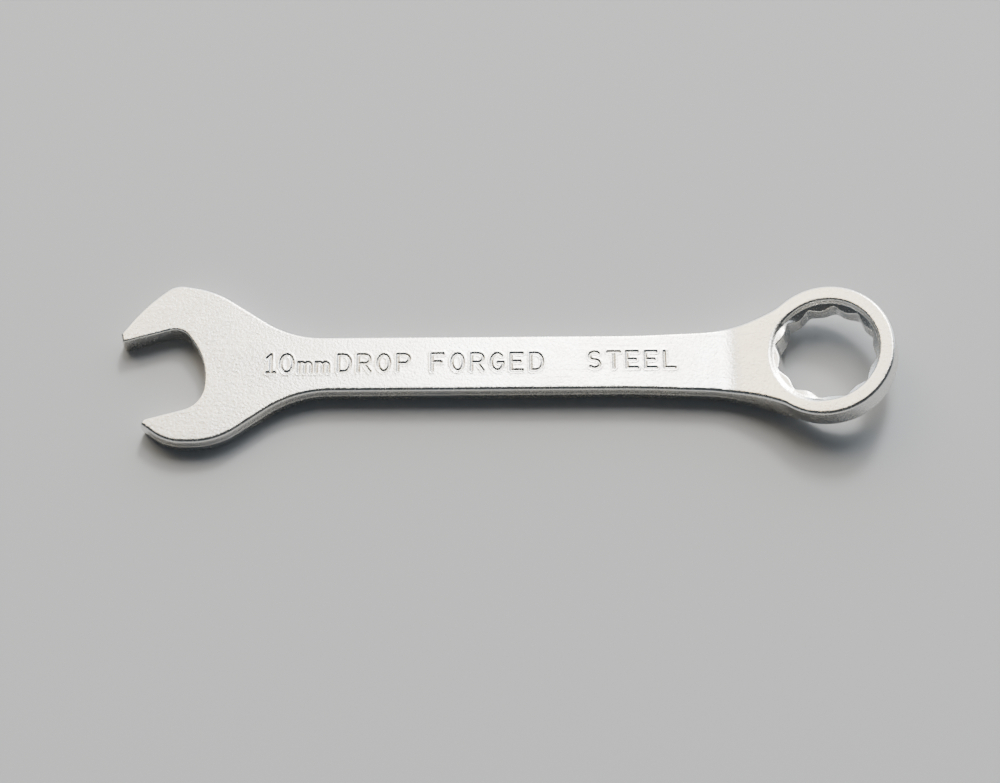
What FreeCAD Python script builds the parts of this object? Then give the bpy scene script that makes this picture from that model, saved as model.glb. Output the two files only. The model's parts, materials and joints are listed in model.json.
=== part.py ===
import FreeCAD, Part
import math
import os

# A short-pattern 10 mm combination wrench: an open jaw turned 15 degrees from the shank at one end,
# a twelve-point ring raised 15 degrees from it at the other.  The real tool is one drop forging, so
# the three solids below are the regions of that forging.  They meet face to face and never move.
#
# Design frame: origin on the shank's axis, level with the middle of the jaw gap; +X along the axis
# to the ring, +Z out of the stamped face.  The last step lays the wrench down as it rests.

# ---- Driving dimensions, in millimetres and degrees ----
ACROSS_FLATS = 10.1        # both ends: the 10 mm nut plus the usual clearance
JAW_ANGLE = 15.0           # the mouth is turned this far from the shank, towards -Y
RING_ANGLE = 15.0          # the ring's outer side is raised this far from the shank
CENTRE_DISTANCE = 74.4     # middle of the jaw gap to the middle of the ring
JAW_OFFSET = -0.2          # middle of the jaw gap, sideways from the shank's axis
RING_OFFSET = 0.2          # middle of the ring, sideways from the shank's axis

BAR_THICKNESS = 3.2        # head and shank alike
SHANK_HALF_WIDTH = 3.52
SWELL_START = 52.0         # from here the shank's edges open out towards the ring
SWELL_HALF_WIDTH = 3.85    # half width at the ring joint
SWELL_BLEND_RADIUS = 100.0
EDGE_RADIUS = 0.35         # forged edges along head and shank

UPPER_TIP_REACH = 7.0      # ends of the jaw faces, from the middle of the gap along the mouth
LOWER_TIP_REACH = 6.8
THROAT_DEPTH = 2.2         # corner of the throat's back, from the middle of the gap
THROAT_BACK_RADIUS = 8.0
THROAT_CORNER_SETBACK = 0.35
UPPER_THROAT_RADIUS = 2.2
LOWER_THROAT_RADIUS = 3.2

RING_OUTER_RADIUS = 8.0
RING_HEIGHT = 4.8
RING_TOP_RADIUS = 0.4      # the forged outer edges of the ring
RING_BASE_RADIUS = 1.6
RING_RISE = 2.15           # middle of the ring above the mid-plane of the shank
RECESS_RADIUS = 6.15       # plain round recess above and below the twelve points
RECESS_DEPTH = 0.9
LEDGE_DROP = 0.5           # cone from the recess wall down to the twelve points
LOBE_RADIUS = 5.25         # drilled bore that rounds off the inner corners of the points
POINT_ANGLE_STEP = 60.0    # corners of one hexagon; a second one lies 30 degrees on
POINT_PHASE = -11.0        # how far the points are turned from the shank's axis

NECK_RADIUS = 24.0         # plan blend from the shank into the ring
NECK_BEND_RADIUS = 12.0    # side-view bend of the top face at the neck
HEEL_START = 61.0          # where the underside starts to swell towards the ring
HEEL_BLEND_RADIUS = 20.0

HEAD_JOINT = 16.7          # the planes where the regions of the forging meet
RING_JOINT = 60.5

# Outer corners of the head, in the design frame: x, y and the radius that rounds the corner.
UPPER_TIP = (-8.3, 4.0, 0.4)
UPPER_BROW = (-5.6, 7.6, 20.0)
UPPER_SHOULDER = (-2.05, 10.4, 2.8)
UPPER_CROWN = (2.75, 9.6, 12.0)
UPPER_NECK = (11.9, SHANK_HALF_WIDTH, 12.0)
LOWER_NECK = (12.4, -SHANK_HALF_WIDTH, 13.0)
LOWER_CROWN = (3.35, -9.75, 9.0)
LOWER_BELLY = (-2.45, -9.7, 6.0)
LOWER_TIP = (-5.55, -7.35, 0.4)

MARGIN = 5.0               # how far cutting and clipping shapes stand past the wrench
SAME_PLACE = 0.001         # lengths smaller than this count as nothing


# ---- Outlines ----
def rounded_wire(corners, to_vector):
    """A closed wire through corners (a, b, radius), each corner rounded by a tangent arc."""
    edges = []
    starts, stops, middles = [], [], []
    count = len(corners)
    for index, (a, b, radius) in enumerate(corners):
        before = corners[index - 1]
        after = corners[(index + 1) % count]
        back = FreeCAD.Vector(before[0] - a, before[1] - b, 0).normalize()
        ahead = FreeCAD.Vector(after[0] - a, after[1] - b, 0).normalize()
        corner = FreeCAD.Vector(a, b, 0)
        half_angle = back.getAngle(ahead) / 2
        reach = radius / math.tan(half_angle)
        starts.append(corner + back * reach)
        stops.append(corner + ahead * reach)
        inward = (back + ahead).normalize()
        middles.append(corner + inward * (radius / math.sin(half_angle) - radius))
    for index in range(count):
        if corners[index][2] > 0:
            arc_points = [to_vector(p) for p in (starts[index], middles[index], stops[index])]
            edges.append(Part.Arc(*arc_points).toShape())
        line_start = stops[index]
        line_stop = starts[(index + 1) % count]
        if line_start.distanceToPoint(line_stop) > SAME_PLACE:
            edges.append(Part.LineSegment(to_vector(line_start), to_vector(line_stop)).toShape())
    return Part.Wire(edges)


def in_plan(point):
    return FreeCAD.Vector(point.x, point.y, 0)


def in_side_view(point):
    return FreeCAD.Vector(point.x, 0, point.y)


def from_jaw(along, across, radius):
    """A corner given along the mouth (outwards) and across it (to the upper jaw)."""
    turn = math.radians(JAW_ANGLE)
    x = -along * math.cos(turn) - across * math.sin(turn)
    y = JAW_OFFSET - along * math.sin(turn) + across * math.cos(turn)
    return (x, y, radius)


def from_ring(along, up):
    """A side-view point given in the ring's own tilted frame."""
    tilt = math.radians(RING_ANGLE)
    x = CENTRE_DISTANCE + along * math.cos(tilt) - up * math.sin(tilt)
    z = RING_RISE + along * math.sin(tilt) + up * math.cos(tilt)
    return (x, z)


def swell_slope():
    """The angle at which each edge of the shank opens out towards the ring."""
    return math.atan2(SWELL_HALF_WIDTH - SHANK_HALF_WIDTH, RING_JOINT - SWELL_START)


def neck_corners(side):
    """Plan corner and end of the arc tangent to the opening edge and to the ring's circle."""
    slope = swell_slope()
    half_width_at_ring_centre = SWELL_HALF_WIDTH + math.tan(slope) * (CENTRE_DISTANCE - RING_JOINT)
    line_offset = (half_width_at_ring_centre - side * RING_OFFSET) * math.cos(slope)
    arc_height = line_offset + NECK_RADIUS
    reach = RING_OUTER_RADIUS + NECK_RADIUS
    run = math.sqrt(reach ** 2 - arc_height ** 2)
    half_turn = math.atan2(run, arc_height) / 2
    scale = RING_OUTER_RADIUS / reach

    def along_the_edge(back, out, radius):
        x = CENTRE_DISTANCE - back * math.cos(slope) - out * math.sin(slope)
        y = out * math.cos(slope) - back * math.sin(slope)
        return (x, RING_OFFSET + side * y, radius)

    corner = along_the_edge(run - NECK_RADIUS * math.tan(half_turn), line_offset, NECK_RADIUS)
    touch = along_the_edge(run * scale, arc_height * scale, 0)
    return corner, touch


def plan_outline():
    """The forging seen from above, before the gap between the jaws is broached."""
    half_gap = ACROSS_FLATS / 2
    corner, touch = neck_corners(1)
    lower_corner, lower_touch = neck_corners(-1)
    return rounded_wire([
        from_jaw(UPPER_TIP_REACH, 0, 0),
        from_jaw(UPPER_TIP_REACH, half_gap, 0),
        UPPER_TIP,
        UPPER_BROW,
        UPPER_SHOULDER,
        UPPER_CROWN,
        UPPER_NECK,
        (SWELL_START, SHANK_HALF_WIDTH, SWELL_BLEND_RADIUS),
        corner,
        touch,
        (CENTRE_DISTANCE, RING_OFFSET, 0),
        lower_touch,
        lower_corner,
        (SWELL_START, -SHANK_HALF_WIDTH, SWELL_BLEND_RADIUS),
        LOWER_NECK,
        LOWER_CROWN,
        LOWER_BELLY,
        LOWER_TIP,
        from_jaw(LOWER_TIP_REACH, -half_gap, 0),
    ], in_plan)


def mouth_outline():
    """The broached gap between the jaws: two parallel faces and a rounded throat."""
    half_gap = ACROSS_FLATS / 2
    outside = UPPER_TIP_REACH + MARGIN
    return rounded_wire([
        from_jaw(outside, half_gap, 0),
        from_jaw(outside, -half_gap, 0),
        from_jaw(-THROAT_CORNER_SETBACK, -half_gap, LOWER_THROAT_RADIUS),
        from_jaw(-THROAT_DEPTH, 0, THROAT_BACK_RADIUS),
        from_jaw(-THROAT_CORNER_SETBACK, half_gap, UPPER_THROAT_RADIUS),
    ], in_plan)


def heel_corner():
    """Where the swelling underside, tangent to the ring's lower edge arc, meets the ring's base plane."""
    arc_x, arc_z = from_ring(RING_BASE_RADIUS - RING_OUTER_RADIUS, RING_BASE_RADIUS - RING_HEIGHT / 2)
    run = arc_x - HEEL_START
    rise = arc_z + BAR_THICKNESS / 2
    slope = math.atan2(rise, run) - math.asin(RING_BASE_RADIUS / math.hypot(run, rise))
    base_x, base_z = from_ring(0, -RING_HEIGHT / 2)
    base_slope = math.tan(math.radians(RING_ANGLE))
    x = (-BAR_THICKNESS / 2 - math.tan(slope) * HEEL_START - base_z + base_slope * base_x) \
        / (base_slope - math.tan(slope))
    return (x, base_z + base_slope * (x - base_x), RING_BASE_RADIUS)


def side_profile():
    top_x, top_z = from_ring(0, RING_HEIGHT / 2)
    base_x, base_z = from_ring(0, -RING_HEIGHT / 2)
    half = BAR_THICKNESS / 2
    bend_x = top_x - (top_z - half) / math.tan(math.radians(RING_ANGLE))
    left = UPPER_TIP[0] - MARGIN
    return rounded_wire([
        (left, half, 0),
        (bend_x, half, NECK_BEND_RADIUS),
        (top_x, top_z, 0),
        (base_x, base_z, 0),
        heel_corner(),
        (HEEL_START, -half, HEEL_BLEND_RADIUS),
        (left, -half, 0),
    ], in_side_view)


# ---- Solids ----
def extruded(wire, direction):
    """The wire's face, extruded the same distance to both sides of its plane."""
    face = Part.Face(wire)
    face.translate(direction * -0.5)
    return face.extrude(direction)


def runs_along_an_outline_edge(edge):
    """True for the long top and bottom edges of the bar: not upright, across it or inside the ring."""
    box = edge.BoundBox
    upright = box.ZLength > BAR_THICKNESS / 2
    across = box.XLength < SAME_PLACE and box.YLength > SHANK_HALF_WIDTH
    inside_ring = box.XMax > CENTRE_DISTANCE - RING_OUTER_RADIUS / 3
    return not (upright or across or inside_ring)


def bar():
    """Head, shank and neck: the plan outline clipped by the side profile, edges rounded, mouth cut."""
    plan = extruded(plan_outline(), FreeCAD.Vector(0, 0, 2 * (RING_HEIGHT + MARGIN)))
    side = extruded(side_profile(), FreeCAD.Vector(0, 4 * (RING_OUTER_RADIUS + MARGIN), 0))
    block = plan.common(side).removeSplitter()
    edges = [edge for edge in block.Edges if runs_along_an_outline_edge(edge)]
    mouth = extruded(mouth_outline(), FreeCAD.Vector(0, 0, 2 * BAR_THICKNESS))
    return block.makeFillet(EDGE_RADIUS, edges).cut(mouth)


def tilt_to_ring(shape):
    """Move a shape made about the origin, +Z up, to the ring's place and tilt."""
    shape.rotate(FreeCAD.Vector(0, 0, 0), FreeCAD.Vector(0, 1, 0), -RING_ANGLE)
    shape.translate(FreeCAD.Vector(CENTRE_DISTANCE, RING_OFFSET, RING_RISE))
    return shape


def ring_blank():
    """The ring before its hole: a disc with rounded outer edges."""
    disc = Part.makeCylinder(RING_OUTER_RADIUS, RING_HEIGHT, FreeCAD.Vector(0, 0, -RING_HEIGHT / 2))
    top_rim = [edge for edge in disc.Edges if edge.BoundBox.ZMin > 0]
    disc = disc.makeFillet(RING_TOP_RADIUS, top_rim)
    base_rim = [edge for edge in disc.Edges if edge.BoundBox.ZMax < 0]
    return tilt_to_ring(disc.makeFillet(RING_BASE_RADIUS, base_rim))


def twelve_point_hole():
    """Two hexagons 30 degrees apart, the drilled bore, and a recess with a conical ledge each side."""
    height = RING_HEIGHT + 2 * MARGIN
    base = FreeCAD.Vector(0, 0, -height / 2)
    corner_radius = ACROSS_FLATS / 2 / math.cos(math.radians(POINT_ANGLE_STEP / 2))
    hole = Part.makeCylinder(LOBE_RADIUS, height, base)
    for offset in (POINT_PHASE, POINT_PHASE + POINT_ANGLE_STEP / 2):
        angles = [math.radians(offset + POINT_ANGLE_STEP * step) for step in range(7)]
        points = [FreeCAD.Vector(corner_radius * math.cos(a), corner_radius * math.sin(a), -height / 2)
                  for a in angles]
        hexagon = Part.Face(Part.makePolygon(points)).extrude(FreeCAD.Vector(0, 0, height))
        hole = hole.fuse(hexagon)
    for side in (1, -1):
        floor = side * (RING_HEIGHT / 2 - RECESS_DEPTH)
        towards_outside = FreeCAD.Vector(0, 0, side)
        towards_middle = FreeCAD.Vector(0, 0, -side)
        place = FreeCAD.Vector(0, 0, floor)
        hole = hole.fuse(Part.makeCylinder(RECESS_RADIUS, RECESS_DEPTH + MARGIN, place, towards_outside))
        hole = hole.fuse(Part.makeCone(RECESS_RADIUS, LOBE_RADIUS, LEDGE_DROP, place, towards_middle))
    return tilt_to_ring(hole.removeSplitter())


def slab(x_from, x_to):
    """A block that holds everything between two x planes."""
    size = 4 * (RING_OUTER_RADIUS + MARGIN)
    return Part.makeBox(x_to - x_from, size, size, FreeCAD.Vector(x_from, -size / 2, -size / 2))


def laid_down(shapes):
    """Tilt the wrench until jaws and ring both touch the ground, then centre it over the origin."""
    arc_x, arc_z = from_ring(RING_BASE_RADIUS - RING_OUTER_RADIUS, RING_BASE_RADIUS - RING_HEIGHT / 2)
    jaw_x = UPPER_TIP[0] + EDGE_RADIUS
    drop = (RING_BASE_RADIUS - arc_z) - BAR_THICKNESS / 2
    rest_tilt = math.degrees(math.atan2(drop, arc_x - jaw_x))
    for shape in shapes:
        shape.rotate(FreeCAD.Vector(0, 0, 0), FreeCAD.Vector(0, 1, 0), -rest_tilt)
    box = Part.Compound(shapes).optimalBoundingBox(False)
    shift = FreeCAD.Vector(-box.Center.x, -box.Center.y, -box.ZMin)
    for shape in shapes:
        shape.translate(shift)
    print("rest tilt", round(rest_tilt, 4), "shift", shift)
    return shapes


def main():
    forging = bar().fuse(ring_blank()).removeSplitter().cut(twelve_point_hole())
    regions = {
        "open_end_head": (UPPER_TIP[0] - MARGIN, HEAD_JOINT),
        "shank": (HEAD_JOINT, RING_JOINT),
        "box_end_ring": (RING_JOINT, CENTRE_DISTANCE + RING_OUTER_RADIUS + MARGIN),
    }
    solids = [forging.common(slab(*limits)).Solids[0] for limits in regions.values()]
    os.makedirs("parts", exist_ok=True)
    for name, shape in zip(regions, laid_down(solids)):
        shape.exportStep("parts/" + name + ".step")
        box = shape.optimalBoundingBox(False)
        print(name, "valid", shape.isValid(), "volume", round(shape.Volume, 3),
              "box", [round(v, 3) for v in (box.XMin, box.YMin, box.ZMin, box.XMax, box.YMax, box.ZMax)])


main()
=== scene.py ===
import bmesh
import bpy
import json
import math
import numpy as np
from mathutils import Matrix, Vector


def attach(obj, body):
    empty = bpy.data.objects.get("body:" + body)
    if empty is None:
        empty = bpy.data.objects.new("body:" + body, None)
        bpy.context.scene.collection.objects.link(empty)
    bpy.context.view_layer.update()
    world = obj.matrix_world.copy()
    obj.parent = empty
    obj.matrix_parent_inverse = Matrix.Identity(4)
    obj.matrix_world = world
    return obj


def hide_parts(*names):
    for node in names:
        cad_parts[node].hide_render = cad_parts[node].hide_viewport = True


# A chrome-plated 10 mm combination wrench lying on a pale floor.  The three regions of the forging
# are modelled as smooth solids, each described by a distance field and meshed on its own grid.
# Lengths are in millimetres in the design frame (origin on the shank's axis beside the jaw gap, +X
# along the shank, +Z out of the stamped face) until a mesh is placed in the row frame, in metres.

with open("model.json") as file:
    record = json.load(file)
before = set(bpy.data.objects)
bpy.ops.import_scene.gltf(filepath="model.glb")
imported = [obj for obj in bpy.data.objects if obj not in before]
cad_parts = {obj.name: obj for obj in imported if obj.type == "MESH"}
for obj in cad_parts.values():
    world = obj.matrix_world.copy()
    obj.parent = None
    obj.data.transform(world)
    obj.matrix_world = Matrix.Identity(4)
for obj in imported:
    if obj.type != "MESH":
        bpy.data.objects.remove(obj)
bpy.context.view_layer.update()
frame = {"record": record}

# ---- Sizes of the wrench, as the CAD model has them ----
ACROSS_FLATS = 10.1
JAW_ANGLE = math.radians(15.0)
RING_ANGLE = math.radians(15.0)
CENTRE_DISTANCE = 74.4
JAW_OFFSET = -0.2
RING_OFFSET = 0.2
BAR_THICKNESS = 3.2
SHANK_HALF_WIDTH = 3.52
SWELL_START = 52.0
SWELL_HALF_WIDTH = 3.85
SWELL_BLEND_RADIUS = 100.0
EDGE_RADIUS = 0.35
UPPER_TIP_REACH = 7.0
LOWER_TIP_REACH = 6.8
THROAT_DEPTH = 2.2
THROAT_BACK_RADIUS = 8.0
THROAT_CORNER_SETBACK = 0.35
UPPER_THROAT_RADIUS = 2.2
LOWER_THROAT_RADIUS = 3.2
UPPER_TIP = (-8.3, 4.0, 0.4)
UPPER_BROW = (-5.6, 7.6, 20.0)
UPPER_SHOULDER = (-2.05, 10.4, 2.8)
UPPER_CROWN = (2.75, 9.6, 12.0)
UPPER_NECK = (11.9, SHANK_HALF_WIDTH, 12.0)
LOWER_NECK = (12.4, -SHANK_HALF_WIDTH, 13.0)
LOWER_CROWN = (3.35, -9.75, 9.0)
LOWER_BELLY = (-2.45, -9.7, 6.0)
LOWER_TIP = (-5.55, -7.35, 0.4)
RING_OUTER_RADIUS = 8.0
RING_HEIGHT = 4.8
RING_TOP_RADIUS = 0.4
RING_BASE_RADIUS = 1.6
RING_RISE = 2.15
RECESS_RADIUS = 6.15
RECESS_DEPTH = 0.9
LEDGE_DROP = 0.5
LOBE_RADIUS = 5.25
POINT_PHASE = math.radians(-11.0)
NECK_RADIUS = 24.0
NECK_BEND_RADIUS = 12.0
HEEL_START = 61.0
HEEL_BLEND_RADIUS = 20.0
HEAD_JOINT = 16.7
RING_JOINT = 60.5

# ---- Finer shape that only the looks need, in millimetres ----
WALL_BULGE = 0.09          # the forged side walls swell this much at mid height
TRIM_RIDGE = 0.05          # and the trimmed parting line stands this proud of them
TRIM_HALF_HEIGHT = 0.25
CORNER_SOFTNESS = 0.15     # smallest rounding in an outline
MOUTH_EDGE_SOFTNESS = 0.25
RECESS_EDGE_SOFTNESS = 0.35
SHALLOW_SIDE = math.radians(200.0)   # towards the shank the recess fades into a rolled edge
SHALLOW_FROM = 0.2         # cosine of the angle from that side where the fading starts
SHALLOW_TO = 0.8           # and where it ends
SHALLOW_SOFTNESS = 0.65
SHALLOW_LEDGE_DROP = 0.12
NECK_SOFTNESS = 0.2
POINT_EDGE_SOFTNESS = 0.12
POINT_CORNER_SOFTNESS = 0.3
LOBE_SOFTNESS = 0.25
ROUNDER_FROM = 61.0        # along the neck the edge radius grows from the shank's to the ring's
ROUNDER_TO = 70.0

STROKE_HALF_WIDTH = 0.12   # stamped characters
STROKE_FLANK = 0.12
STROKE_DEPTH = 0.13
STROKE_LIP = 0.015         # metal raised beside each stroke
LIP_CENTRE = 0.3           # from the middle of the stroke
LIP_WIDTH = 0.12

# ---- Meshing, in millimetres ----
JOINT_CELL = 0.03          # grid cells on a joint plane reach this far each side of it
GRID_MARGIN = 0.25         # the bar's grid stands this far past its faces
FACE_DEPTH = 0.4           # rounded edges and characters lie within this of a face
RIDGE_REACH = 0.6          # the parting ridge lies within this of the middle
WALL_STEP = 0.3            # where the surface is plain
RIDGE_STEP = 0.12
BACK_FACE_STEP = 0.09
HEAD_FACE_STEP = 0.07
SHANK_FACE_STEP = 0.09
HEAD_STEP = 0.13
SHANK_STEP = 0.09
SHANK_EDGE_STEP = 0.1
STAMP_STEP = 0.075         # across stamped characters
RING_STEP = 0.112
MOVES_ONTO_SURFACE = 4     # Newton steps that bring a vertex from its cell onto the surface
LEAST_SLOPE_SQUARED = 0.05   # keeps those steps short where the field is flat
SLOPE_STEP = 0.002         # half the distance over which a slope is measured
FAR = 1e9                  # farther than anything on the wrench
LEAST_LENGTH_SQUARED = 1e-18
MM = 0.001                 # in metres

HEAD_GRID_X = -8.4         # where the head's grid begins
HEAD_GRID_Y = (-10.0, 10.6)
HEAD_STAMPS_X = 8.6        # where its characters begin
HEAD_STAMPS_Y = (-1.4, 1.4)
SHANK_GRID_Y = (-4.3, 4.3)
SHANK_PLAIN_Y = (-3.0, 3.0)   # between the shank's rounded edges
SHANK_STAMPS_Y = (-1.2, 1.5)
RING_GRID_X = 83.0         # where the ring's grid ends
RING_GRID_Y = (-8.3, 8.3)
RING_GRID_Z = (-2.5, 6.9)


# ---- Outlines made of lines and arcs ----
class Outline:
    """A closed outline through corners (a, b, radius), each rounded by a tangent arc."""

    def __init__(self, corners):
        points = np.array([corner[:2] for corner in corners], float)
        after = np.roll(points, -1, axis=0)
        area = np.sum(points[:, 0] * after[:, 1] - after[:, 0] * points[:, 1])
        self.turn = 1.0 if area > 0 else -1.0
        self.pieces = []
        starts, stops = [], []
        for index, (a, b, radius) in enumerate(corners):
            corner = points[index]
            back = points[index - 1] - corner
            ahead = after[index] - corner
            back = back / np.linalg.norm(back)
            ahead = ahead / np.linalg.norm(ahead)
            half_angle = math.acos(np.clip(back @ ahead, -1, 1)) / 2
            reach = radius / math.tan(half_angle)
            inward = (back + ahead) / np.linalg.norm(back + ahead)
            centre = corner + inward * radius / math.sin(half_angle)
            starts.append(corner + back * reach)
            stops.append(corner + ahead * reach)
            bends_left = back[1] * ahead[0] - back[0] * ahead[1] > 0
            self.pieces.append(("arc", centre, radius, starts[-1], stops[-1], bends_left))
        for index in range(len(corners)):
            follower = (index + 1) % len(corners)
            self.pieces.append(("line", stops[index], starts[follower]))

    def distance(self, a, b):
        """Signed distance in the plane, negative inside."""
        best = np.full(np.broadcast(a, b).shape, FAR)
        signed = best.copy()
        for piece in self.pieces:
            if piece[0] == "line":
                away, side = self.line_distance(a, b, *piece[1:])
            else:
                away, side = self.arc_distance(a, b, *piece[1:])
            nearer = away < best
            best = np.where(nearer, away, best)
            signed = np.where(nearer, np.where(side * self.turn > 0, -away, away), signed)
        return signed

    @staticmethod
    def line_distance(a, b, start, stop):
        run = stop - start
        length_squared = max(float(run @ run), LEAST_LENGTH_SQUARED)
        share = np.clip(((a - start[0]) * run[0] + (b - start[1]) * run[1]) / length_squared, 0, 1)
        away = np.hypot(a - start[0] - share * run[0], b - start[1] - share * run[1])
        side = run[0] * (b - start[1]) - run[1] * (a - start[0])
        return away, side

    @staticmethod
    def arc_distance(a, b, centre, radius, start, stop, bends_left):
        """Off the ends of the arc the distance is left large: the lines beside it are nearer."""
        from_centre = np.hypot(a - centre[0], b - centre[1])
        middle = (start + stop) / 2 - centre
        across = (stop - start) / 2
        reach = (a - centre[0]) * middle[0] + (b - centre[1]) * middle[1]
        swing = (a - centre[0]) * across[0] + (b - centre[1]) * across[1]
        on_arc = np.abs(swing) * (middle @ middle) <= reach * (across @ across)
        away = np.where(on_arc, np.abs(from_centre - radius), FAR)
        side = (radius - from_centre) if bends_left else (from_centre - radius)
        return away, side


def from_jaw(along, across, radius):
    """A corner given along the mouth (outwards) and across it (to the upper jaw)."""
    x = -along * math.cos(JAW_ANGLE) - across * math.sin(JAW_ANGLE)
    y = JAW_OFFSET - along * math.sin(JAW_ANGLE) + across * math.cos(JAW_ANGLE)
    return (x, y, radius)


def from_ring(along, up):
    """A side-view point given in the ring's own tilted frame."""
    x = CENTRE_DISTANCE + along * math.cos(RING_ANGLE) - up * math.sin(RING_ANGLE)
    z = RING_RISE + along * math.sin(RING_ANGLE) + up * math.cos(RING_ANGLE)
    return (x, z)


def neck_corners(side):
    """Plan corner and end of the arc tangent to the opening edge and to the ring's circle."""
    slope = math.atan2(SWELL_HALF_WIDTH - SHANK_HALF_WIDTH, RING_JOINT - SWELL_START)
    half_width_at_ring_centre = SWELL_HALF_WIDTH + math.tan(slope) * (CENTRE_DISTANCE - RING_JOINT)
    line_offset = (half_width_at_ring_centre - side * RING_OFFSET) * math.cos(slope)
    arc_height = line_offset + NECK_RADIUS
    reach = RING_OUTER_RADIUS + NECK_RADIUS
    run = math.sqrt(reach ** 2 - arc_height ** 2)
    half_turn = math.atan2(run, arc_height) / 2
    scale = RING_OUTER_RADIUS / reach

    def along_the_edge(back, out, radius):
        x = CENTRE_DISTANCE - back * math.cos(slope) - out * math.sin(slope)
        y = out * math.cos(slope) - back * math.sin(slope)
        return (x, RING_OFFSET + side * y, radius)

    corner = along_the_edge(run - NECK_RADIUS * math.tan(half_turn), line_offset, NECK_RADIUS)
    touch = along_the_edge(run * scale, arc_height * scale, CORNER_SOFTNESS)
    stretch = 1 + 2 * CORNER_SOFTNESS / math.hypot(touch[0] - corner[0], touch[1] - corner[1])
    touch = tuple(c + (t - c) * stretch for c, t in zip(corner[:2], touch[:2])) + (CORNER_SOFTNESS,)
    return corner, touch


def plan_outline():
    """The forging seen from above, without the ring and before the mouth is broached."""
    half_gap = ACROSS_FLATS / 2
    corner, touch = neck_corners(1)
    lower_corner, lower_touch = neck_corners(-1)
    return Outline([
        from_jaw(UPPER_TIP_REACH, half_gap, CORNER_SOFTNESS),
        UPPER_TIP,
        UPPER_BROW,
        UPPER_SHOULDER,
        UPPER_CROWN,
        UPPER_NECK,
        (SWELL_START, SHANK_HALF_WIDTH, SWELL_BLEND_RADIUS),
        corner,
        touch,
        (CENTRE_DISTANCE, RING_OFFSET, CORNER_SOFTNESS),
        lower_touch,
        lower_corner,
        (SWELL_START, -SHANK_HALF_WIDTH, SWELL_BLEND_RADIUS),
        LOWER_NECK,
        LOWER_CROWN,
        LOWER_BELLY,
        LOWER_TIP,
        from_jaw(LOWER_TIP_REACH, -half_gap, CORNER_SOFTNESS),
    ])


def mouth_outline():
    """The broached gap between the jaws: two parallel faces and a rounded throat."""
    half_gap = ACROSS_FLATS / 2
    outside = 2 * UPPER_TIP_REACH
    return Outline([
        from_jaw(outside, half_gap, CORNER_SOFTNESS),
        from_jaw(outside, -half_gap, CORNER_SOFTNESS),
        from_jaw(-THROAT_CORNER_SETBACK, -half_gap, LOWER_THROAT_RADIUS),
        from_jaw(-THROAT_DEPTH, 0, THROAT_BACK_RADIUS),
        from_jaw(-THROAT_CORNER_SETBACK, half_gap, UPPER_THROAT_RADIUS),
    ])


def heel_corner():
    """Where the swelling underside, tangent to the ring's lower edge arc, meets the base plane."""
    arc_x, arc_z = from_ring(RING_BASE_RADIUS - RING_OUTER_RADIUS, RING_BASE_RADIUS - RING_HEIGHT / 2)
    run = arc_x - HEEL_START
    rise = arc_z + BAR_THICKNESS / 2
    slope = math.atan2(rise, run) - math.asin(RING_BASE_RADIUS / math.hypot(run, rise))
    base_x, base_z = from_ring(0, -RING_HEIGHT / 2)
    base_slope = math.tan(RING_ANGLE)
    x = (-BAR_THICKNESS / 2 - math.tan(slope) * HEEL_START - base_z + base_slope * base_x) \
        / (base_slope - math.tan(slope))
    return (x, base_z + base_slope * (x - base_x), RING_BASE_RADIUS)


def side_outline():
    """The forging seen from the side: flat bar, bend at the neck, and the ring's two planes."""
    outside = 2 * RING_OUTER_RADIUS
    half = BAR_THICKNESS / 2
    top_x, top_z = from_ring(0, RING_HEIGHT / 2)
    bend_x = top_x - (top_z - half) / math.tan(RING_ANGLE)
    return Outline([
        (-outside, half, CORNER_SOFTNESS),
        (bend_x, half, NECK_BEND_RADIUS),
        from_ring(outside, RING_HEIGHT / 2) + (CORNER_SOFTNESS,),
        from_ring(outside, -RING_HEIGHT / 2) + (CORNER_SOFTNESS,),
        heel_corner(),
        (HEEL_START, -half, HEEL_BLEND_RADIUS),
        (-outside, -half, CORNER_SOFTNESS),
    ])


PLAN = plan_outline()
MOUTH = mouth_outline()
SIDE = side_outline()


# ---- Ways to join distance fields ----
def soft_min(a, b, softness):
    share = np.clip(0.5 + 0.5 * (b - a) / softness, 0, 1)
    return b + (a - b) * share - softness * share * (1 - share)


def soft_max(a, b, softness):
    return -soft_min(-a, -b, softness)


def smooth_step(value, low, high):
    share = np.clip((value - low) / (high - low), 0, 1)
    return share * share * (3 - 2 * share)


def rounded_corner(a, b, radius):
    """Both fields at once, with the edge between them rounded to a true radius."""
    over_a = np.maximum(a + radius, 0)
    over_b = np.maximum(b + radius, 0)
    return np.hypot(over_a, over_b) + np.minimum(np.maximum(a, b) + radius, 0) - radius


# ---- Stamped characters: strokes in a box one unit high ----
def bow(centre_x, centre_y, reach_x, reach_y, start, stop, steps=8):
    angles = np.radians(np.linspace(start, stop, steps + 1))
    return [(centre_x + reach_x * math.cos(t), centre_y + reach_y * math.sin(t)) for t in angles]


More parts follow.
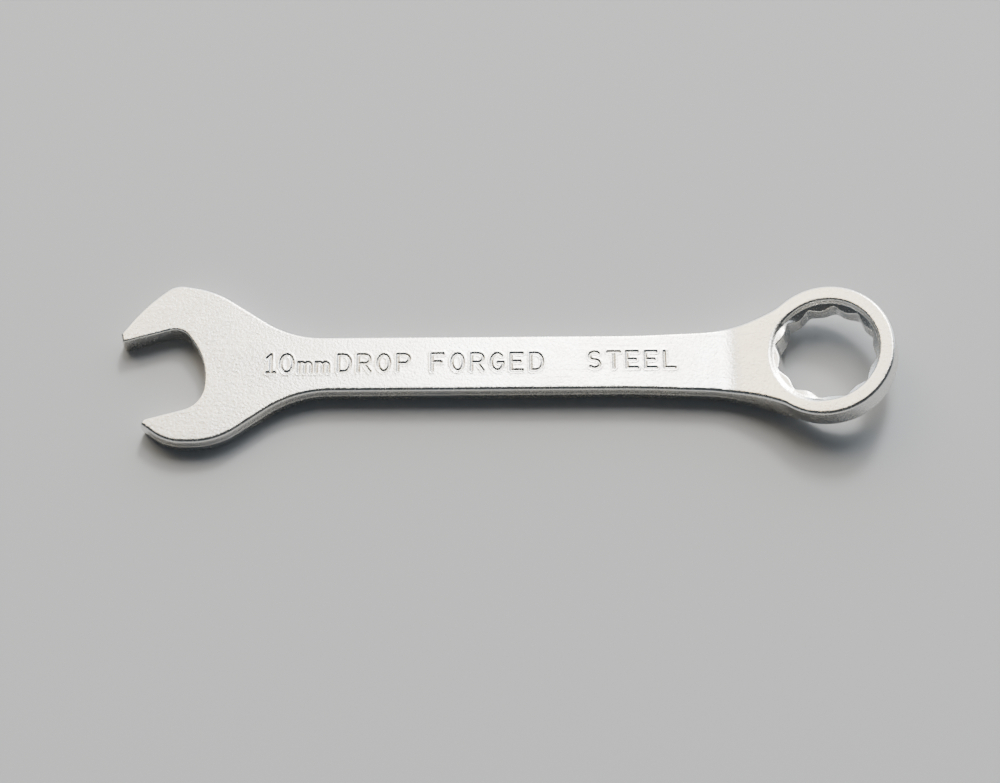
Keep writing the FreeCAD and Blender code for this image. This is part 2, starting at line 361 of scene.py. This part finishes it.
D_BOWL = [(0, 0), (0, 1)] + bow(0.3, 0.5, 0.36, 0.5, 90, -90) + [(0, 0)]
P_BOWL = [(0, 0), (0, 1)] + bow(0.38, 0.74, 0.26, 0.26, 90, -90) + [(0, 0.48)]
ROUND = bow(0.32, 0.5, 0.32, 0.5, 0, 360, 16)
SMALL_M = [
    [(0, 0), (0, 0.56)],
    bow(0.16, 0.4, 0.16, 0.16, 180, 0) + [(0.32, 0)],
    bow(0.48, 0.4, 0.16, 0.16, 180, 0) + [(0.64, 0)],
]
GLYPHS = {
    "1": [[(0.08, 0.8), (0.28, 1), (0.28, 0)], [(0.08, 0), (0.48, 0)]],
    "0": [ROUND],
    "m": SMALL_M,
    "D": [D_BOWL],
    "R": [P_BOWL, [(0.3, 0.48), (0.64, 0)]],
    "O": [ROUND],
    "P": [P_BOWL],
    "F": [[(0, 0), (0, 1), (0.62, 1)], [(0, 0.52), (0.5, 0.52)]],
    "G": [bow(0.34, 0.5, 0.34, 0.5, 48, 330, 14) + [(0.66, 0.46), (0.38, 0.46)]],
    "E": [[(0.62, 1), (0, 1), (0, 0), (0.62, 0)], [(0, 0.52), (0.5, 0.52)]],
    "S": [bow(0.32, 0.75, 0.29, 0.25, 40, 270, 9) + bow(0.32, 0.25, 0.3, 0.25, 70, -140, 9)],
    "T": [[(0, 1), (0.68, 1)], [(0.34, 1), (0.34, 0)]],
    "L": [[(0, 1), (0, 0), (0.6, 0)]],
}

# Text, left end of its first character, spacing, height and height of its middle above the axis.
STAMPED = [
    ("10", 8.9, 1.75, 2.25, 0.0),
    ("mm", 12.75, 2.05, 2.25, 0.0),
    ("DROP", 17.4, 2.3, 2.1, 0.0),
    ("FORGED", 28.3, 2.3, 2.1, 0.05),
    ("STEEL", 46.6, 2.2, 2.0, 0.2),
]


def stamped_segments(x_from, x_to):
    """All the straight bits of the strokes that lie between two planes across the shank."""
    segments = []
    for text, left, pitch, height, middle in STAMPED:
        for index, letter in enumerate(text):
            for stroke in GLYPHS[letter]:
                points = [(left + pitch * index + height * px, middle + height * (py - 0.5))
                          for px, py in stroke]
                segments += [(p, q) for p, q in zip(points, points[1:]) if x_from < p[0] < x_to]
    return segments


def stamping(x, y, segments):
    """How deep the stamped face is cut at (x, y); slightly negative on the lips beside a stroke."""
    away = np.full(np.broadcast(x, y).shape, FAR)
    for (ax, ay), (bx, by) in segments:
        run_x, run_y = bx - ax, by - ay
        share = np.clip(((x - ax) * run_x + (y - ay) * run_y) / (run_x ** 2 + run_y ** 2), 0, 1)
        away = np.minimum(away, np.hypot(x - ax - share * run_x, y - ay - share * run_y))
    groove = 1 - smooth_step(away, STROKE_HALF_WIDTH - STROKE_FLANK, STROKE_HALF_WIDTH + STROKE_FLANK)
    lip = np.exp(-((away - LIP_CENTRE) / LIP_WIDTH) ** 2)
    return STROKE_DEPTH * groove - STROKE_LIP * lip


# ---- The forging as a distance field ----
def ring_coordinates(x, y, z):
    along = (x - CENTRE_DISTANCE) * math.cos(RING_ANGLE) + (z - RING_RISE) * math.sin(RING_ANGLE)
    up = (z - RING_RISE) * math.cos(RING_ANGLE) - (x - CENTRE_DISTANCE) * math.sin(RING_ANGLE)
    return along, np.hypot(along, y - RING_OFFSET), up


def hexagon(along, y, offset):
    """Six walls across flats, with the corners between them a little rounded."""
    walls = []
    for step in range(6):
        angle = POINT_PHASE + offset + math.radians(30 + 60 * step)
        walls.append(along * math.cos(angle) + (y - RING_OFFSET) * math.sin(angle) - ACROSS_FLATS / 2)
    field = walls[0]
    for wall in walls[1:]:
        field = soft_max(field, wall, POINT_CORNER_SOFTNESS)
    return field


def shallow_side(x, y, z):
    """From 0 round most of the ring to 1 where the recess above the points has faded away."""
    along, radius, up = ring_coordinates(x, y, z)
    facing = (along * math.cos(SHALLOW_SIDE) + (y - RING_OFFSET) * math.sin(SHALLOW_SIDE)) / radius
    return smooth_step(facing, SHALLOW_FROM, SHALLOW_TO) * (up > 0)


def twelve_point_hole(x, y, z):
    along, radius, up = ring_coordinates(x, y, z)
    points = np.minimum(hexagon(along, y, 0.0), hexagon(along, y, math.radians(30)))
    points = soft_min(points, radius - LOBE_RADIUS, LOBE_SOFTNESS)
    shallow = shallow_side(x, y, z)
    run = RECESS_RADIUS - LOBE_RADIUS
    drop = LEDGE_DROP + (SHALLOW_LEDGE_DROP - LEDGE_DROP) * shallow
    ledge_height = RING_HEIGHT / 2 - RECESS_DEPTH * (1 - shallow)
    above_ledge = (ledge_height - np.abs(up)) * run - (RECESS_RADIUS - radius) * drop
    ledge = above_ledge / np.hypot(run, drop)
    recess = rounded_corner(radius - RECESS_RADIUS, ledge, CORNER_SOFTNESS)
    return soft_min(points, recess, POINT_EDGE_SOFTNESS)


def blank(x, y, z, plan_distance):
    """The forging before its ends are cut: outline and side view together, edges rounded."""
    bulge = WALL_BULGE * (z / (BAR_THICKNESS / 2)) ** 2
    rounder = smooth_step(x, ROUNDER_FROM, ROUNDER_TO)
    beside_trim = 1 - np.exp(-(z / TRIM_HALF_HEIGHT) ** 2)
    walls = plan_distance + (bulge + TRIM_RIDGE * beside_trim) * (1 - rounder)
    _, _, up = ring_coordinates(x, y, z)
    ring_radius = np.where(up > 0, RING_TOP_RADIUS, RING_BASE_RADIUS)
    radius = EDGE_RADIUS + (ring_radius - EDGE_RADIUS) * rounder
    return rounded_corner(walls, SIDE.distance(x, z), radius)


def stamped(body, x, y, z, segments):
    """The body with characters cut into its upper face."""
    return body + stamping(x, y, segments) * smooth_step(z, 0, BAR_THICKNESS / 4)


def head_field(x, y, z):
    body = blank(x, y, z, PLAN.distance(x, y))
    body = soft_max(body, -MOUTH.distance(x, y), MOUTH_EDGE_SOFTNESS)
    return stamped(body, x, y, z, HEAD_STROKES)


def shank_field(x, y, z):
    return stamped(blank(x, y, z, PLAN.distance(x, y)), x, y, z, SHANK_STROKES)


def ring_field(x, y, z):
    _, radius, _ = ring_coordinates(x, y, z)
    body = blank(x, y, z, soft_min(PLAN.distance(x, y), radius - RING_OUTER_RADIUS, NECK_SOFTNESS))
    shallow = shallow_side(x, y, z)
    softness = RECESS_EDGE_SOFTNESS + (SHALLOW_SOFTNESS - RECESS_EDGE_SOFTNESS) * shallow
    return soft_max(body, -twelve_point_hole(x, y, z), softness)


HEAD_STROKES = stamped_segments(UPPER_TIP[0], HEAD_JOINT)
SHANK_STROKES = stamped_segments(HEAD_JOINT, RING_JOINT)


# ---- Meshing: one vertex per grid cell that the surface crosses, moved onto the surface ----
def grid_line(*spans):
    """Grid positions over spans (start, stop, largest step) that follow each other."""
    line = [np.array([spans[0][0]])]
    for start, stop, step in spans:
        count = max(1, math.ceil((stop - start) / step))
        line.append(np.linspace(start, stop, count + 1)[1:])
    return np.concatenate(line)


def cell_vertices(xs, ys, zs, values, active):
    """The mean of the edge crossings of every active cell."""
    ids = np.argwhere(active)
    total = np.zeros((len(ids), 3))
    hits = np.zeros(len(ids))
    lines = (xs, ys, zs)
    for axis in range(3):
        others = [a for a in range(3) if a != axis]
        for shift_a in (0, 1):
            for shift_b in (0, 1):
                near = ids.copy()
                near[:, others[0]] += shift_a
                near[:, others[1]] += shift_b
                far = near.copy()
                far[:, axis] += 1
                v0 = values[tuple(near.T)]
                v1 = values[tuple(far.T)]
                crosses = (v0 < 0) != (v1 < 0)
                share = np.where(crosses, v0 / np.where(crosses, v0 - v1, 1), 0)
                point = np.stack([lines[a][near[:, a]] for a in range(3)], axis=1)
                point[:, axis] += share * (lines[axis][far[:, axis]] - lines[axis][near[:, axis]])
                total += point * crosses[:, None]
                hits += crosses
    return total / hits[:, None]


def cell_quads(values, active):
    """One quad round every grid edge that the surface crosses, facing outwards."""
    number = np.full(active.shape, -1)
    number[active] = np.arange(np.count_nonzero(active))
    inside = values < 0
    quads = []
    for axis in range(3):
        b, c = (axis + 1) % 3, (axis + 2) % 3
        low = [slice(None)] * 3
        high = [slice(None)] * 3
        low[axis] = slice(None, -1)
        high[axis] = slice(1, None)
        crossing = inside[tuple(low)] != inside[tuple(high)]
        for any_axis in range(3):
            for end in (slice(0, 1), slice(-1, None)):
                edge = [slice(None)] * 3
                edge[any_axis] = end
                crossing[tuple(edge)] = False
        at = np.argwhere(crossing)
        outward = inside[tuple(at.T)]
        ring = []
        for step_b, step_c in ((-1, -1), (0, -1), (0, 0), (-1, 0)):
            cell = at.copy()
            cell[:, b] += step_b
            cell[:, c] += step_c
            ring.append(number[tuple(cell.T)])
        ring = np.stack(ring, axis=1)
        ring[~outward] = ring[~outward][:, ::-1]
        quads.append(ring)
    return np.concatenate(quads)


def gradient(field, points):
    slopes = []
    for axis in range(3):
        ahead = points.copy()
        behind = points.copy()
        ahead[:, axis] += SLOPE_STEP
        behind[:, axis] -= SLOPE_STEP
        slopes.append((field(*ahead.T) - field(*behind.T)) / (2 * SLOPE_STEP))
    return np.stack(slopes, axis=1)


def surface(field, xs, ys, zs, joints):
    """Vertices, quads and normals of the field's surface, which ends open on the joint planes."""
    values = field(xs[:, None, None], ys[None, :, None], zs[None, None, :])
    values = np.broadcast_to(values, (len(xs), len(ys), len(zs)))
    inside = values < 0
    corners = sum(inside[i:len(xs) - 1 + i, j:len(ys) - 1 + j, k:len(zs) - 1 + k].astype(int)
                  for i in (0, 1) for j in (0, 1) for k in (0, 1))
    active = (corners > 0) & (corners < 8)
    vertices = cell_vertices(xs, ys, zs, values, active)
    on_joint = np.zeros(len(vertices), bool)
    cells = np.argwhere(active)
    for joint in joints:
        here = (xs[cells[:, 0]] < joint) & (xs[cells[:, 0] + 1] > joint)
        vertices[here, 0] = joint
        on_joint |= here
    for _ in range(MOVES_ONTO_SURFACE):
        slope = gradient(field, vertices)
        slope[on_joint, 0] = 0
        size = np.maximum(np.sum(slope ** 2, axis=1), LEAST_SLOPE_SQUARED)
        vertices -= slope * (field(*vertices.T) / size)[:, None]
    quads = cell_quads(values, active)
    used, quads = np.unique(quads, return_inverse=True)
    vertices = vertices[used]
    normals = gradient(field, vertices)
    normals /= np.linalg.norm(normals, axis=1)[:, None]
    return vertices, quads.reshape(-1, 4), normals


# ---- From the design frame to the row frame ----
def mount(name):
    return next(m for m in frame["record"]["mounts"] if m["name"] == name)


ring_axis = mount("twelve_point_end")["axis"]
rest_tilt = math.atan2(-ring_axis[0], ring_axis[2]) - RING_ANGLE
TO_ROW = np.array([
    [math.cos(rest_tilt), 0, -math.sin(rest_tilt)],
    [0, 1, 0],
    [math.sin(rest_tilt), 0, math.cos(rest_tilt)],
])
ring_centre = np.array(mount("twelve_point_end")["pos_m"])
ORIGIN = ring_centre - TO_ROW @ np.array([CENTRE_DISTANCE, RING_OFFSET, RING_RISE]) * MM


def forged_piece(name, cad_node, field, xs, ys, zs, joints, material):
    """A closed mesh of one region of the forging, standing for its CAD node."""
    vertices, quads, normals = surface(field, xs, ys, zs, joints)
    placed = vertices @ TO_ROW.T * MM + ORIGIN
    mesh = bpy.data.meshes.new(name)
    mesh.from_pydata(placed.tolist(), [], quads.tolist())
    mesh.update()
    piece = bpy.data.objects.new(name, mesh)
    bpy.context.collection.objects.link(piece)
    close_joints(mesh)
    mesh.polygons.foreach_set("use_smooth", np.ones(len(mesh.polygons), bool))
    corner_of = np.empty(len(mesh.loops), int)
    mesh.loops.foreach_get("vertex_index", corner_of)
    loop_normals = (normals @ TO_ROW.T)[corner_of]
    for polygon in mesh.polygons:
        if len(polygon.vertices) > 4:
            loop_normals[list(polygon.loop_indices)] = polygon.normal
    mesh.normals_split_custom_set(loop_normals.tolist())
    mesh.materials.append(material)
    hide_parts(cad_node)
    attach(piece, "root")


def close_joints(mesh):
    """One flat face over each open end, where the next region of the forging begins."""
    work = bmesh.new()
    work.from_mesh(mesh)
    rims = [edge for edge in work.edges if edge.is_boundary]
    bmesh.ops.holes_fill(work, edges=rims, sides=0)
    work.to_mesh(mesh)
    work.free()


# ---- Materials: colours, and sizes and heights of the finish in metres ----
COOL_CHROME = (0.80, 0.795, 0.78, 1)
WARM_CHROME = (0.80, 0.77, 0.71, 1)
CLOUD_SIZE = 0.006
GRAIN_SIZE = 0.0003
GRAIN_HEIGHT = 0.000022
GRAIN_ON_WALLS = 0.3       # share of the grain left on upright faces
WAVE_SIZE = 0.0045
WAVE_STRETCH = (0.6, 1, 1)
WAVE_HEIGHT = 0.00003
HAIRLINE_SIZE = 0.0016
HAIRLINE_STRETCH = (0.12, 3.0, 1)
HAIRLINE_TURNS = (0.5, -0.7)
HAIRLINE_DEPTH = 0.000003
HAIRLINE_BUMP = 0.3
HAIRLINE_ROUGHNESS = 0.08
SATIN_ROUGHNESS = (0.20, 0.27)
GRAIN_ROUGHNESS = (-0.05, 0.06)
NOISE_ROUGHNESS = 0.55
TONE_SPAN = (0.35, 0.65)   # noise values over which a change happens
ROUGHNESS_SPAN = (0.3, 0.7)
HAIRLINE_SPAN = (0.68, 0.74)
WALL_SPAN = (0.2, 0.9)     # upward part of the normal, from a wall to a face
FLOOR_COLOUR = (0.43, 0.44, 0.455, 1)
FLOOR_ROUGHNESS = 0.9


def node(tree, kind, inputs=(), **settings):
    """A shader node with its settings and the values or links of its named inputs."""
    made = tree.nodes.new(kind)
    for key, value in settings.items():
        setattr(made, key, value)
    for name, value in dict(inputs).items():
        if isinstance(value, bpy.types.NodeSocket):
            tree.links.new(value, made.inputs[name])
        else:
            made.inputs[name].default_value = value
    return made


def chrome_material():
    """Satin nickel-chrome: fine grain, slow polishing waves, faint hairlines, a warm patchy tone."""
    material = bpy.data.materials.new("satin_chrome")
    material.use_nodes = True
    tree = material.node_tree
    shader = tree.nodes["Principled BSDF"]
    coordinates = node(tree, "ShaderNodeTexCoord")
    place = coordinates.outputs["Object"]

    def noise(feature, detail, stretch=(1, 1, 1), turn=0.0):
        """Noise with features about so many metres across."""
        placed = node(tree, "ShaderNodeMapping", {
            "Vector": place, "Scale": stretch, "Rotation": (0, 0, turn)})
        return node(tree, "ShaderNodeTexNoise", {
            "Vector": placed.outputs["Vector"], "Scale": 1 / feature,
            "Detail": detail, "Roughness": NOISE_ROUGHNESS}).outputs["Fac"]

    def spread(value, span, result=(0.0, 1.0)):
        """A span of values mapped to another range and held at its ends."""
        return node(tree, "ShaderNodeMapRange", {
            "Value": value, "From Min": span[0], "From Max": span[1],
            "To Min": result[0], "To Max": result[1]}).outputs["Result"]

    def combined(operation, first, second):
        """Two values put together by one arithmetic node."""
        return node(tree, "ShaderNodeMath", {0: first, 1: second}, operation=operation).outputs[0]

    def bumped(height, strength, distance, normal=None, invert=False):
        """The shading normal with a relief of that height in metres added."""
        inputs = {"Height": height, "Strength": strength, "Distance": distance}
        if normal is not None:
            inputs["Normal"] = normal
        return node(tree, "ShaderNodeBump", inputs, invert=invert).outputs["Normal"]

    cloudy = noise(CLOUD_SIZE, 3.0)
    grain = noise(GRAIN_SIZE, 2.0)
    waves = noise(WAVE_SIZE, 1.0, WAVE_STRETCH)
    hairlines = [spread(noise(HAIRLINE_SIZE, 1.0, HAIRLINE_STRETCH, turn), HAIRLINE_SPAN)
                 for turn in HAIRLINE_TURNS]
    scratched = combined("MAXIMUM", *hairlines)

    warmth = spread(cloudy, TONE_SPAN)
    tone = node(tree, "ShaderNodeMix", {
        "Factor": warmth, 6: COOL_CHROME, 7: WARM_CHROME}, data_type="RGBA")
    tree.links.new(tone.outputs[2], shader.inputs["Base Color"])
    shader.inputs["Metallic"].default_value = 1.0
    satin = spread(cloudy, ROUGHNESS_SPAN, SATIN_ROUGHNESS)
    grainy = combined("ADD", satin, spread(grain, ROUGHNESS_SPAN, GRAIN_ROUGHNESS))
    rough = combined("ADD", grainy, combined("MULTIPLY", scratched, HAIRLINE_ROUGHNESS))
    tree.links.new(rough, shader.inputs["Roughness"])

    upright = node(tree, "ShaderNodeSeparateXYZ", {"Vector": coordinates.outputs["Normal"]})
    grain_share = spread(upright.outputs["Z"], WALL_SPAN, (GRAIN_ON_WALLS, 1.0))
    wavy = bumped(waves, 1.0, WAVE_HEIGHT)
    grained = bumped(grain, grain_share, GRAIN_HEIGHT, wavy)
    cut = bumped(scratched, HAIRLINE_BUMP, HAIRLINE_DEPTH, grained, invert=True)
    tree.links.new(cut, shader.inputs["Normal"])
    return material


def plain_material(name, colour, roughness):
    """One even colour and roughness."""
    material = bpy.data.materials.new(name)
    material.use_nodes = True
    shader = material.node_tree.nodes["Principled BSDF"]
    shader.inputs["Base Color"].default_value = colour
    shader.inputs["Roughness"].default_value = roughness
    return material


# ---- The three regions of the forging ----
HALF_BAR = BAR_THICKNESS / 2
AT_HEAD_JOINT = (HEAD_JOINT - JOINT_CELL, HEAD_JOINT + JOINT_CELL)
AT_RING_JOINT = (RING_JOINT - JOINT_CELL, RING_JOINT + JOINT_CELL)


def bar_levels(face_step):
    """Grid levels through the bar, close together at both faces and at the parting line."""
    return grid_line(
        (-HALF_BAR - GRID_MARGIN, -HALF_BAR + FACE_DEPTH, BACK_FACE_STEP),
        (-HALF_BAR + FACE_DEPTH, -RIDGE_REACH, WALL_STEP),
        (-RIDGE_REACH, RIDGE_REACH, RIDGE_STEP),
        (RIDGE_REACH, HALF_BAR - FACE_DEPTH, WALL_STEP),
        (HALF_BAR - FACE_DEPTH, HALF_BAR + GRID_MARGIN, face_step))


# For each region: name, CAD node, field, grid lines along x, y and z, joint planes and finish.
chrome = chrome_material()
forged_piece(
    "open_end_head_forged", "open_end_head", head_field,
    grid_line((HEAD_GRID_X, HEAD_STAMPS_X, HEAD_STEP),
              (HEAD_STAMPS_X, AT_HEAD_JOINT[0], STAMP_STEP), (*AT_HEAD_JOINT, 1)),
    grid_line((HEAD_GRID_Y[0], HEAD_STAMPS_Y[0], HEAD_STEP), (*HEAD_STAMPS_Y, STAMP_STEP),
              (HEAD_STAMPS_Y[1], HEAD_GRID_Y[1], HEAD_STEP)),
    bar_levels(HEAD_FACE_STEP),
    (HEAD_JOINT,), chrome)
forged_piece(
    "shank_forged", "shank", shank_field,
    grid_line((*AT_HEAD_JOINT, 1), (AT_HEAD_JOINT[1], AT_RING_JOINT[0], SHANK_STEP),
              (*AT_RING_JOINT, 1)),
    grid_line((SHANK_GRID_Y[0], SHANK_PLAIN_Y[0], SHANK_EDGE_STEP),
              (SHANK_PLAIN_Y[0], SHANK_STAMPS_Y[0], WALL_STEP), (*SHANK_STAMPS_Y, STAMP_STEP),
              (SHANK_STAMPS_Y[1], SHANK_PLAIN_Y[1], WALL_STEP),
              (SHANK_PLAIN_Y[1], SHANK_GRID_Y[1], SHANK_EDGE_STEP)),
    bar_levels(SHANK_FACE_STEP),
    (HEAD_JOINT, RING_JOINT), chrome)
forged_piece(
    "box_end_ring_forged", "box_end_ring", ring_field,
    grid_line((*AT_RING_JOINT, 1), (AT_RING_JOINT[1], RING_GRID_X, RING_STEP)),
    grid_line((*RING_GRID_Y, RING_STEP)),
    grid_line((*RING_GRID_Z, RING_STEP)),
    (RING_JOINT,), chrome)

# ---- Floor: a plain pale square, sizes in metres from here on ----
FLOOR_SIZE = 3.0
half_floor = FLOOR_SIZE / 2
floor_corners = [
    (-half_floor, -half_floor, 0),
    (half_floor, -half_floor, 0),
    (half_floor, half_floor, 0),
    (-half_floor, half_floor, 0),
]
floor_mesh = bpy.data.meshes.new("floor")
floor_mesh.from_pydata(floor_corners, [], [(0, 1, 2, 3)])
floor_mesh.materials.append(plain_material("floor_matt", FLOOR_COLOUR, FLOOR_ROUGHNESS))
floor = bpy.data.objects.new("floor", floor_mesh)
bpy.context.collection.objects.link(floor)

# ---- Sky: bright behind the wrench, dim in front, with a low grey band all round ----
SKY_BRIGHT_SIDE = (0.2, 0.97, -0.1)
SKY_TURNS_BRIGHT = (0.1, 0.8)    # how far a direction leans to the bright side, from dim to bright
SKY_DIM = 0.07
SKY_BRIGHT = 2.8
SKY_HORIZON = 0.35
HORIZON_FADES = (0.2, 0.45)      # height of a direction, from the band's full strength to none
SKY_COLOUR = (0.84, 0.92, 1.0, 1)

world = bpy.data.worlds.new("studio")
bpy.context.scene.world = world
world.use_nodes = True
sky = world.node_tree


def faded(value, from_to, low_strength, high_strength):
    """A sky strength that changes smoothly as the value passes between two limits."""
    return node(sky, "ShaderNodeMapRange", {
        "Value": value, "From Min": from_to[0], "From Max": from_to[1],
        "To Min": low_strength, "To Max": high_strength,
    }, interpolation_type="SMOOTHSTEP").outputs["Result"]


direction = node(sky, "ShaderNodeTexCoord").outputs["Generated"]
lean = node(sky, "ShaderNodeVectorMath", {0: direction, 1: SKY_BRIGHT_SIDE}, operation="DOT_PRODUCT")
height = node(sky, "ShaderNodeSeparateXYZ", {"Vector": direction}).outputs["Z"]
brightness = faded(lean.outputs["Value"], SKY_TURNS_BRIGHT, SKY_DIM, SKY_BRIGHT)
band = faded(height, HORIZON_FADES, SKY_HORIZON, 0.0)
strength = node(sky, "ShaderNodeMath", {0: brightness, 1: band}, operation="MAXIMUM").outputs[0]
background = sky.nodes["Background"]
background.inputs["Color"].default_value = SKY_COLOUR
sky.links.new(strength, background.inputs["Strength"])

# ---- Soft lights: name, place, width, depth, power in watts, colour ----
SOFT_LIGHTS = [
    ("window", (0.04, 0.34, 0.62), 0.18, 0.32, 2.6, (1.0, 1.0, 1.0)),
    ("panel", (-0.1, 0.68, 0.82), 1.3, 0.6, 5.2, (1.0, 0.79, 0.46)),
    ("side_panel", (-0.52, 0.5, 0.95), 0.36, 0.6, 2.6, (1.0, 0.86, 0.66)),
    ("lamp", (0.16, 0.7, 0.75), 0.16, 0.16, 6.5, (1.0, 1.0, 1.0)),
]


def soft_light(name, place, width, depth, power, colour):
    """A rectangular light facing the middle of the wrench."""
    light = bpy.data.lights.new(name, "AREA")
    light.shape = "RECTANGLE"
    light.size = width
    light.size_y = depth
    light.energy = power
    light.color = colour
    holder = bpy.data.objects.new(name, light)
    bpy.context.collection.objects.link(holder)
    holder.location = place
    holder.rotation_euler = (-Vector(place)).to_track_quat("-Z", "Y").to_euler()


for settings in SOFT_LIGHTS:
    soft_light(*settings)

# ---- Camera: above the near side, aimed at a point of the design frame ----
CAMERA_TARGET = (36.2, -3.67, 1.6)
CAMERA_DISTANCE = 0.263
CAMERA_ELEVATION = math.radians(68.5)
CAMERA_SWING = math.radians(0.36)
CAMERA_LENS = 81.7
CAMERA_SENSOR = 36.0

camera_data = bpy.data.cameras.new("camera")
camera_data.lens = CAMERA_LENS
camera_data.sensor_width = CAMERA_SENSOR
camera = bpy.data.objects.new("camera", camera_data)
bpy.context.collection.objects.link(camera)
to_camera = Vector((
    -math.cos(CAMERA_ELEVATION) * math.sin(CAMERA_SWING),
    -math.cos(CAMERA_ELEVATION) * math.cos(CAMERA_SWING),
    math.sin(CAMERA_ELEVATION),
))
camera.location = Vector(ORIGIN + TO_ROW @ np.array(CAMERA_TARGET) * MM) + CAMERA_DISTANCE * to_camera
camera.rotation_euler = (-to_camera).to_track_quat("-Z", "Y").to_euler()
bpy.context.scene.camera = camera
